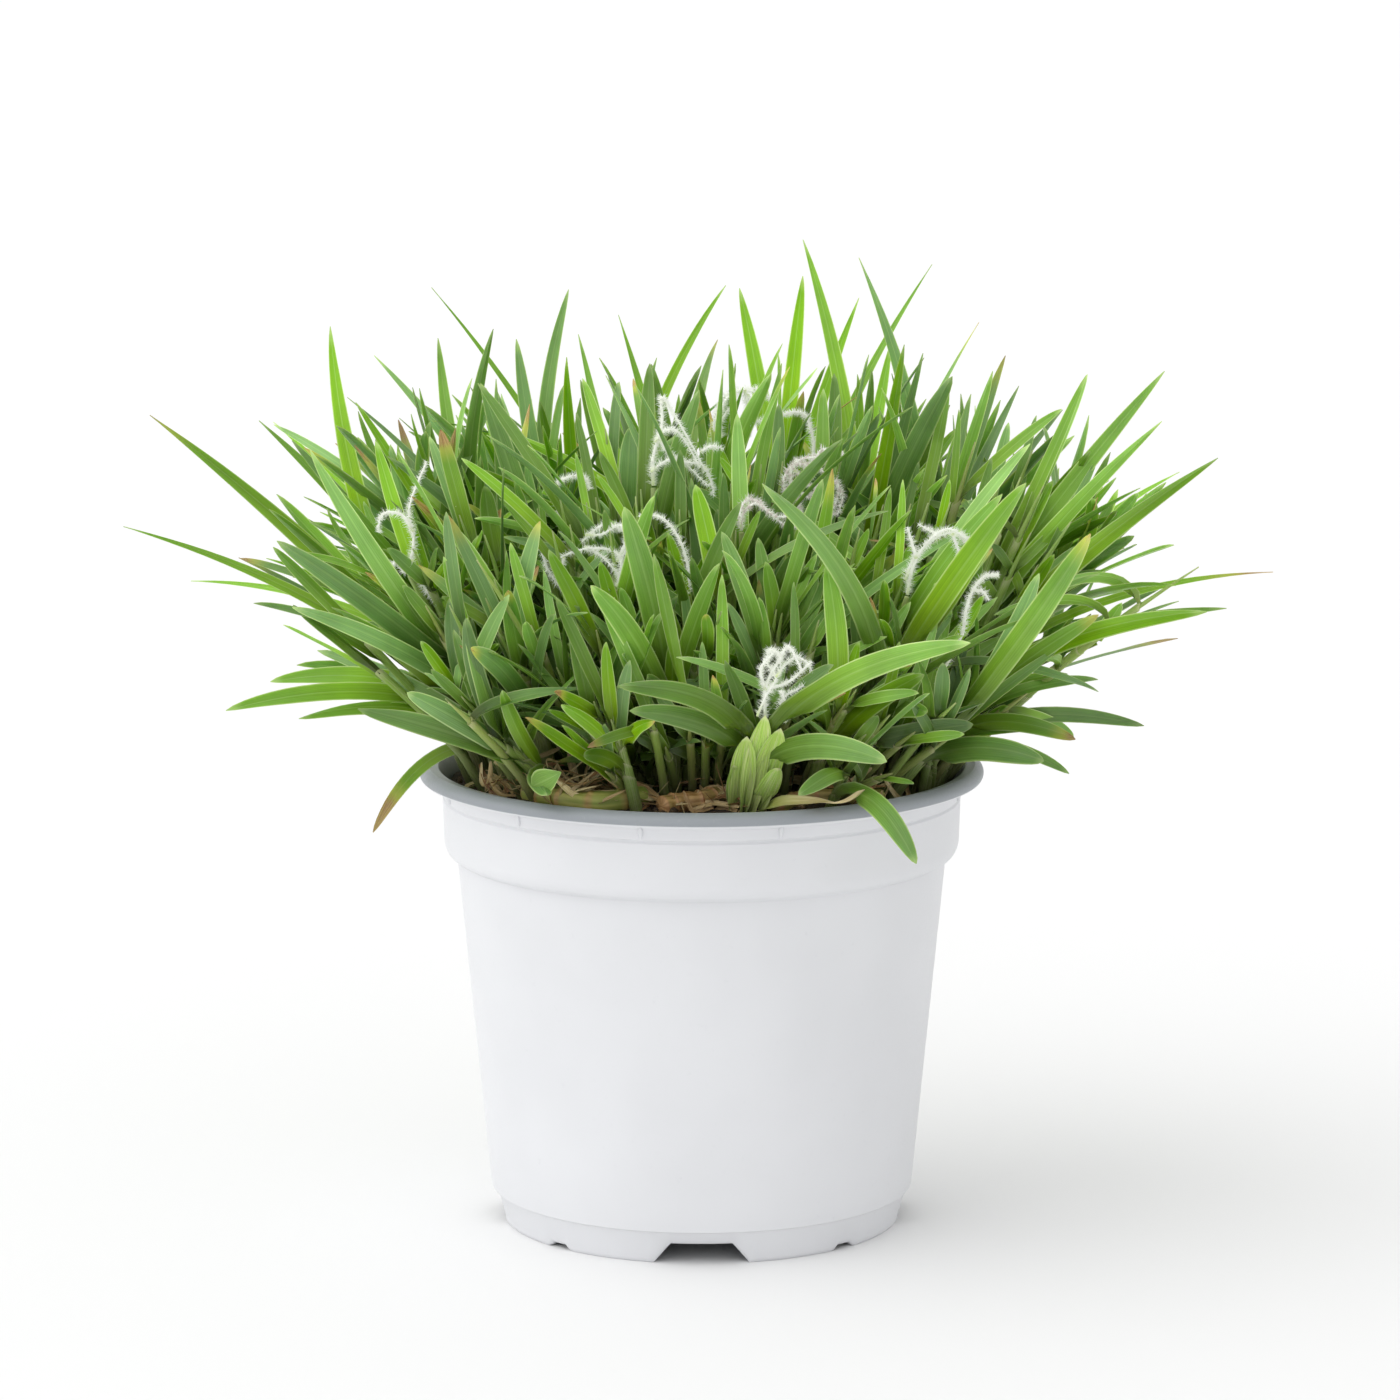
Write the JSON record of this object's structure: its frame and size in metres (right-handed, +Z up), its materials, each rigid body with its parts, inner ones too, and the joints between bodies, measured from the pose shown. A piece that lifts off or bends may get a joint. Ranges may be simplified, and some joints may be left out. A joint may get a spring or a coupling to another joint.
{
  "type": "potted kikuyu grass",
  "caption": "Dense tuft of long-bladed creeping grass with white hairy flower strands, in a round white nursery pot filled with soil.",
  "frame": {"origin": "on the ground, under the middle of the pot, which is also the middle of the plant's spread", "axes": "+Z up, -Y towards the viewer of the front, +X to that viewer's right"},
  "size_m": [0.266, 0.22, 0.222],
  "materials": {
    "white_plastic": "satin",
    "potting_soil": "matte",
    "grass_leaf": "satin",
    "runner_bark": "matte",
    "straw": "matte",
    "flower_down": "matte"
  },
  "bodies": {
    "root": {"pot": "white_plastic", "soil": "potting_soil", "back_left": "grass_leaf", "back_middle": "grass_leaf", "back_out": "grass_leaf", "back_right": "grass_leaf", "back_right_middle": "grass_leaf", "dry_leaf": "straw", "flower_back": "flower_down", "flower_front": "flower_down", "flower_hook": "flower_down", "flower_left": "flower_down", "flower_middle": "flower_down", "flower_near_left": "flower_down", "flower_right": "flower_down", "flower_stem_back": "grass_leaf", "flower_stem_hook": "grass_leaf", "flower_stem_left": "grass_leaf", "flower_stem_middle": "grass_leaf", "flower_stem_near_left": "grass_leaf", "flower_stem_right": "grass_leaf", "flower_stem_tangle": "grass_leaf", "flower_stem_wave": "grass_leaf", "flower_tangle": "flower_down", "flower_wave": "flower_down", "front_big": "grass_leaf", "front_droop": "grass_leaf", "front_middle": "grass_leaf", "front_small": "grass_leaf", "front_upright": "grass_leaf", "left_back": "grass_leaf", "left_back_high": "grass_leaf", "left_behind": "grass_leaf", "left_centre": "grass_leaf", "left_front": "grass_leaf", "left_low": "grass_leaf", "left_near": "grass_leaf", "left_out": "grass_leaf", "left_wide": "grass_leaf", "right_back": "grass_leaf", "right_centre": "grass_leaf", "right_front": "grass_leaf", "right_low": "grass_leaf", "right_near": "grass_leaf", "right_out": "grass_leaf", "right_wide": "grass_leaf", "runner_front": "runner_bark", "runner_left": "runner_bark", "runner_right": "runner_bark", "tuft_01": "grass_leaf", "tuft_02": "grass_leaf", "tuft_03": "grass_leaf", "tuft_04": "grass_leaf", "tuft_05": "grass_leaf", "tuft_06": "grass_leaf", "tuft_07": "grass_leaf", "tuft_08": "grass_leaf", "tuft_09": "grass_leaf", "tuft_10": "grass_leaf"}
  },
  "joints": []
}
